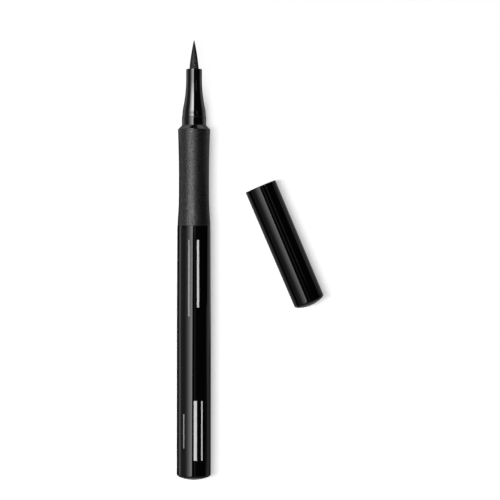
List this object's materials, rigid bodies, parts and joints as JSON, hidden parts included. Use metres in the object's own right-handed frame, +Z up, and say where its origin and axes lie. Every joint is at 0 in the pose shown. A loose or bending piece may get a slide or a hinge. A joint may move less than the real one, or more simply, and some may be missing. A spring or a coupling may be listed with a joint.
{
  "type": "liquid eyeliner pen",
  "caption": "Felt-tip liquid eyeliner pen with a flared nozzle, soft waisted grip and fibre reservoir, lying beside its pulled-off cap, which holds a sprung sealing inner cap.",
  "frame": {"origin": "on the axis of the pen, in the plane where the mouth of the cap comes to rest on it", "axes": "+Y along the pen towards its tip, +Z up from the surface that it lies on, +X towards the cap"},
  "size_m": [0.0431, 0.1291, 0.01],
  "materials": {
    "gloss_black": "polished black moulding",
    "soft_touch": "matt soft-touch black with a fine grain",
    "felt": "felt soaked with black liquid",
    "wick_fibre": "bonded fibre",
    "reservoir_fibre": "fibre bundle",
    "film": "thin clear film",
    "holder_plastic": "natural moulding",
    "inner_plastic": "satin black moulding",
    "spring_steel": "drawn wire"
  },
  "bodies": {
    "pen": {"barrel_tube": "gloss_black", "tail_plug": "gloss_black", "front_section": "gloss_black", "grip_sleeve": "soft_touch", "nozzle": "gloss_black", "nib_holder": "holder_plastic", "nib": "felt", "feed_wick": "wick_fibre", "reservoir_core": "reservoir_fibre", "reservoir_film": "film"},
    "cap": {"cap_shell": "gloss_black", "cap_crown": "gloss_black", "cap_spring": "spring_steel"},
    "inner_cap": {"inner_cap": "inner_plastic"}
  },
  "joints": [
    {"name": "cap_slide", "type": "slide", "parent": "pen", "child": "cap", "axis": [-0.3911, 0.9204, 0], "range_m": [0, 0.025]},
    {"name": "inner_cap_slide", "type": "slide", "parent": "cap", "child": "inner_cap", "axis": [0.3911, -0.9204, 0], "range_m": [0, 0.003], "stiffness_N_per_m": 400, "springref_m": -0.001, "deforming": ["cap_spring"]}
  ]
}
